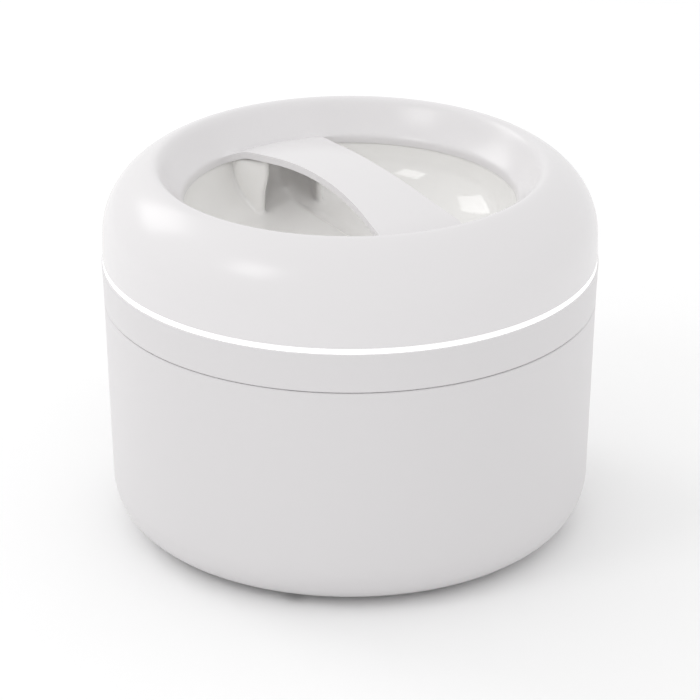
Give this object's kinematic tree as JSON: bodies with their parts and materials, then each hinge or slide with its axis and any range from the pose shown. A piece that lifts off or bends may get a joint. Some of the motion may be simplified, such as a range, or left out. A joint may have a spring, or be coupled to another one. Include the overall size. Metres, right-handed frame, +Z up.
{
  "type": "ultrasonic cleaner",
  "caption": "Round ultrasonic cleaner with a steel tank, lit ring, lift-out basket and a lift-off lid that has a recessed hand grip.",
  "frame": {"origin": "on the table under the middle of the round housing, level with the bottom of the feet", "axes": "+Z up; +Y towards the back, where the connector panel is; the lid's grab bridge runs along Y"},
  "size_m": [0.1598, 0.1598, 0.1222],
  "materials": {
    "basket_white": "translucent polypropylene",
    "connector_white": "nylon",
    "screw_steel": "zinc plated",
    "white_lid": "glossy moulded white",
    "nickel": "plated",
    "copper_wire": "enamelled wire",
    "white_shell": "glossy moulded white",
    "epoxy_black": "moulded package",
    "aluminium": "plain",
    "board_green": "solder mask",
    "can_black": "sleeved can",
    "film_blue": "dipped",
    "fuse_glass": "plated caps",
    "aluminium_black": "black anodised",
    "black_plastic": "satin",
    "lead_black": "insulation",
    "board_white": "solder mask",
    "lead_white": "insulation",
    "lamp": "phosphor",
    "silicone_grey": "soft matt",
    "diffuser": "lit milky band",
    "ceramic": "fired ceramic with silvered faces",
    "lead_red": "insulation",
    "button_white": "gloss",
    "panel_grey": "fine texture",
    "rubber_dark": "matt",
    "stainless": "brushed",
    "spring_steel": "plain",
    "ferrite": "sintered",
    "winding_tape": "polyester tape"
  },
  "bodies": {
    "base": {"board_connectors": "connector_white", "board_screws": "screw_steel", "button_bezel": "nickel", "choke": "copper_wire", "collar": "white_shell", "control_chips": "epoxy_black", "coupling_plate": "aluminium", "driver_board": "board_green", "electrolytic_capacitors": "can_black", "film_capacitor": "film_blue", "fuse": "fuse_glass", "heatsink": "aluminium_black", "housing_screws": "screw_steel", "jack_body": "black_plastic", "jack_leads": "lead_black", "jack_nut": "nickel", "jack_pin": "nickel", "led_board": "board_white", "led_leads": "lead_white", "leds": "lamp", "light_ring": "diffuser", "lower_housing": "white_shell", "panel_screws": "screw_steel", "piezo_disc": "ceramic", "piezo_leads": "lead_red", "power_transistors": "epoxy_black", "rear_panel": "panel_grey", "rubber_feet": "rubber_dark", "switch_body": "black_plastic", "switch_leads": "lead_white", "tank": "stainless", "tank_gasket": "silicone_grey", "tank_retaining_ring": "spring_steel", "transformer_core": "ferrite", "transformer_winding": "winding_tape", "transistor_screws": "screw_steel"},
    "lid": {"lid_shell": "white_lid", "grab_bridge": "white_lid", "handle_well": "white_lid", "bridge_posts": "white_lid", "well_screws": "screw_steel", "lid_liner": "white_lid", "lid_seal": "silicone_grey", "lid_screws": "screw_steel"},
    "basket": {"basket": "basket_white", "basket_floor": "basket_white"},
    "button": {"power_button": "button_white"}
  },
  "joints": [
    {"name": "lid_lift", "type": "slide", "parent": "base", "child": "lid", "axis": [0, 0, 1], "range_m": [0, 0.13]},
    {"name": "basket_lift", "type": "slide", "parent": "base", "child": "basket", "axis": [0, 0, 1], "range_m": [0, 0.0585]},
    {"name": "button_press", "type": "slide", "parent": "base", "child": "button", "axis": [0, -1, 0], "range_m": [0, 0.0015], "stiffness_N_per_m": 400}
  ],
  "couplings": [
    {"joint": "basket_lift", "follows": "lid_lift", "ratio": 0.45}
  ]
}
